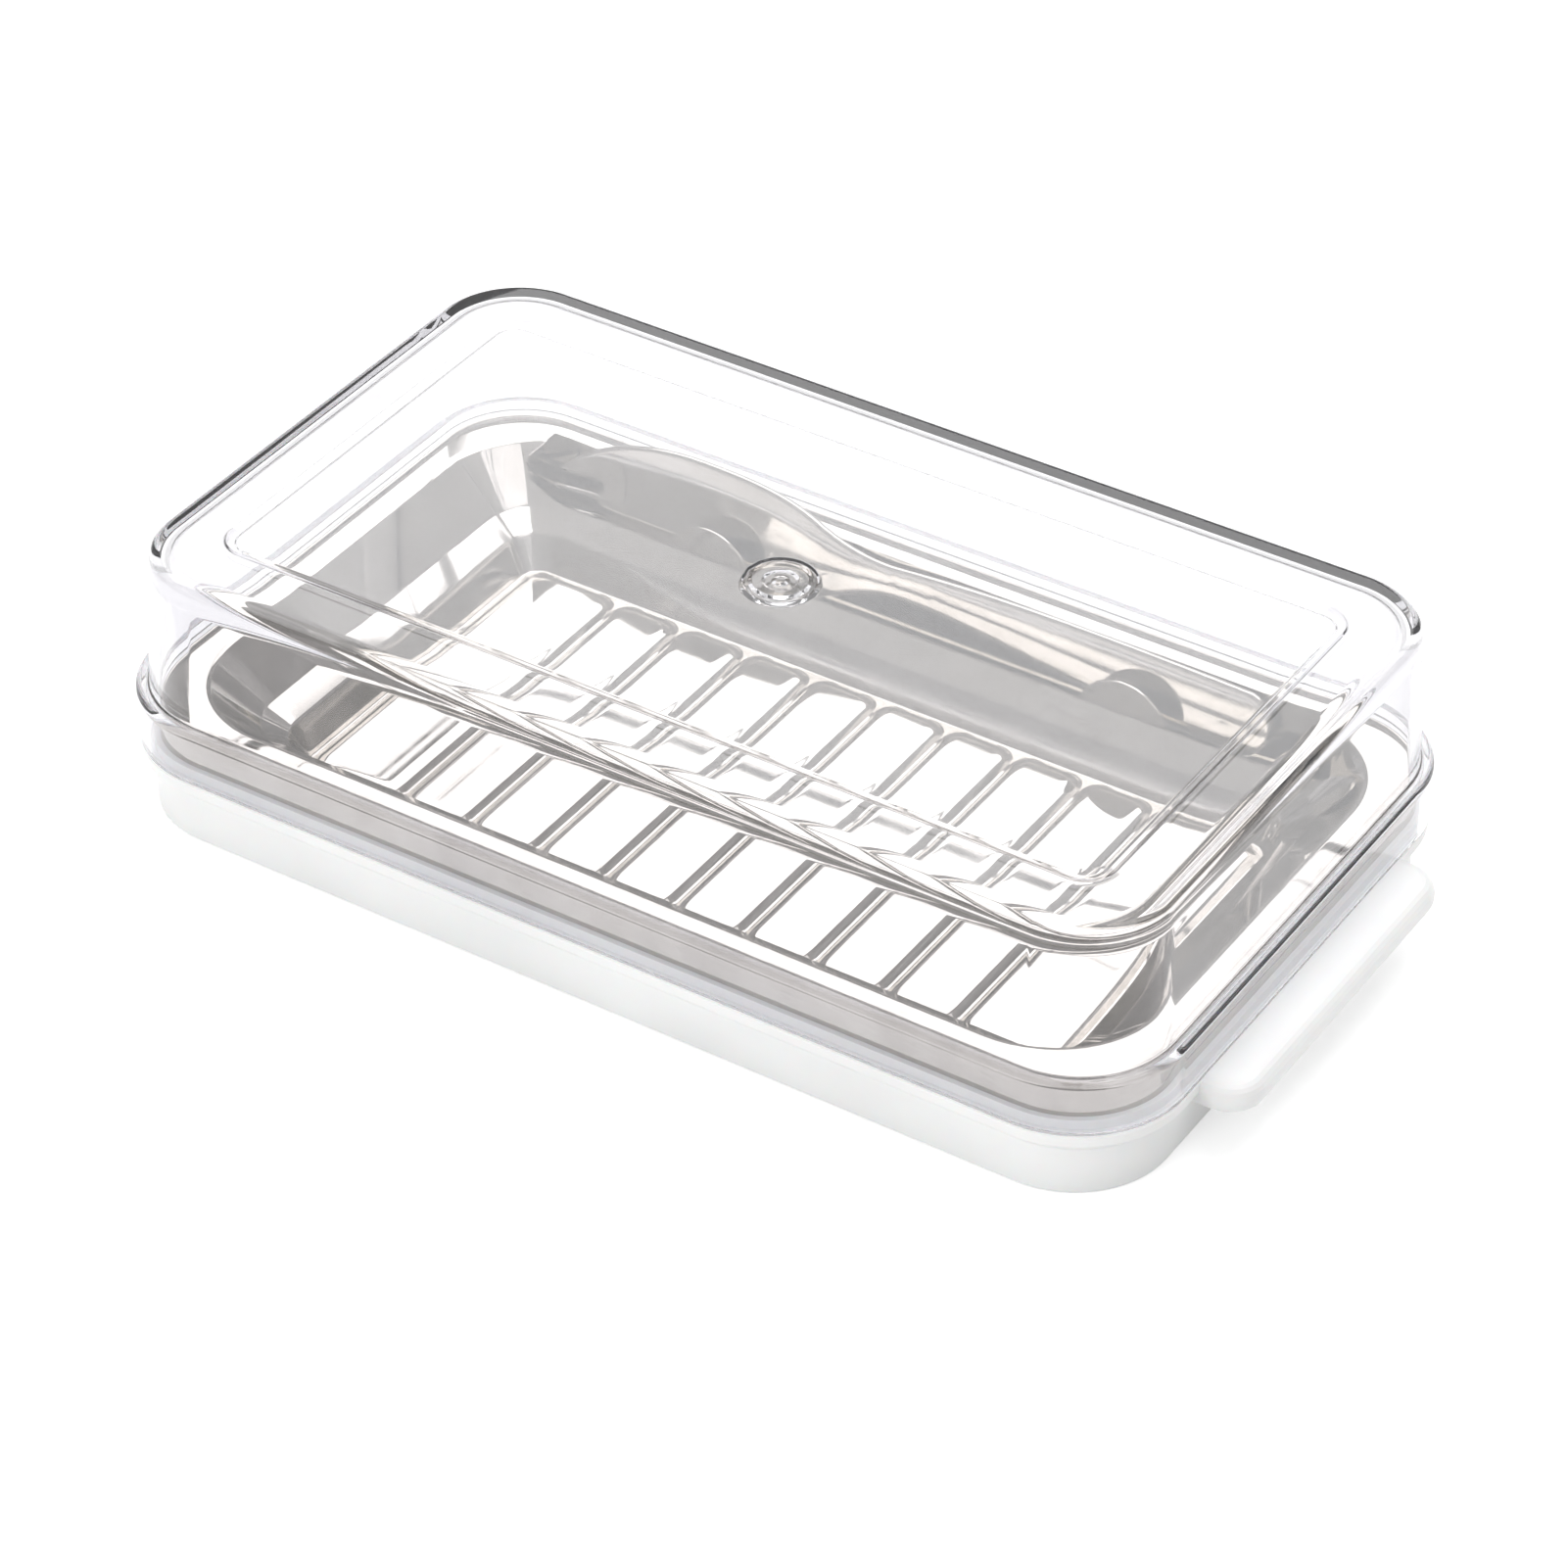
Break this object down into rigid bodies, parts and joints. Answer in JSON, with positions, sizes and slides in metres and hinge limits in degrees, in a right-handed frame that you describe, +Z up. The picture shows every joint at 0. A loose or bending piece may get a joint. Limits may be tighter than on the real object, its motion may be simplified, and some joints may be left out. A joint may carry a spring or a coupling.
{
  "type": "wire butter slicer",
  "caption": "Lidded butter case with a clear two-tier lid, a steel tray with ten raised pads, a notched butter knife and a white base frame strung with slicing wires.",
  "frame": {"origin": "centre of the foot that the cutter frame stands on, halfway between the two end grips", "axes": "+X along the case, from the knife's blade end to its handle end; +Y towards the knife side; +Z up"},
  "size_m": [0.2006, 0.1096, 0.0472],
  "materials": {
    "frame_plastic": "satin white moulded plastic, very slightly translucent",
    "rail_plastic": "satin white moulded plastic",
    "screw_steel": "bright zinc-plated",
    "crimp_steel": "plain pressed sleeve",
    "wire_steel": "bright drawn stainless wire",
    "tray_steel": "mirror-polished stainless steel",
    "knife_steel": "polished stainless steel",
    "lid_clear": "clear gloss plastic with a faint cool tint"
  },
  "bodies": {
    "frame": {"cutter_frame": "frame_plastic", "front_clamp_rail": "rail_plastic", "back_clamp_rail": "rail_plastic", "front_rail_screws": "screw_steel", "back_rail_screws": "screw_steel", "front_wire_crimps": "crimp_steel", "back_wire_crimps": "crimp_steel", "wire_1": "wire_steel", "wire_2": "wire_steel", "wire_3": "wire_steel", "wire_4": "wire_steel", "wire_5": "wire_steel", "wire_6": "wire_steel", "wire_7": "wire_steel", "wire_8": "wire_steel", "wire_9": "wire_steel"},
    "tray": {"tray": "tray_steel"},
    "knife": {"knife": "knife_steel"},
    "lid": {"lid": "lid_clear"}
  },
  "joints": [
    {"name": "tray_lift", "type": "slide", "parent": "frame", "child": "tray", "axis": [0, 0, 1], "range_m": [0, 0.045]},
    {"name": "lid_lift", "type": "slide", "parent": "tray", "child": "lid", "axis": [0, 0, 1], "range_m": [0, 0.06]},
    {"name": "knife_lift", "type": "slide", "parent": "tray", "child": "knife", "axis": [0, 0, 1], "range_m": [0, 0.014]}
  ]
}
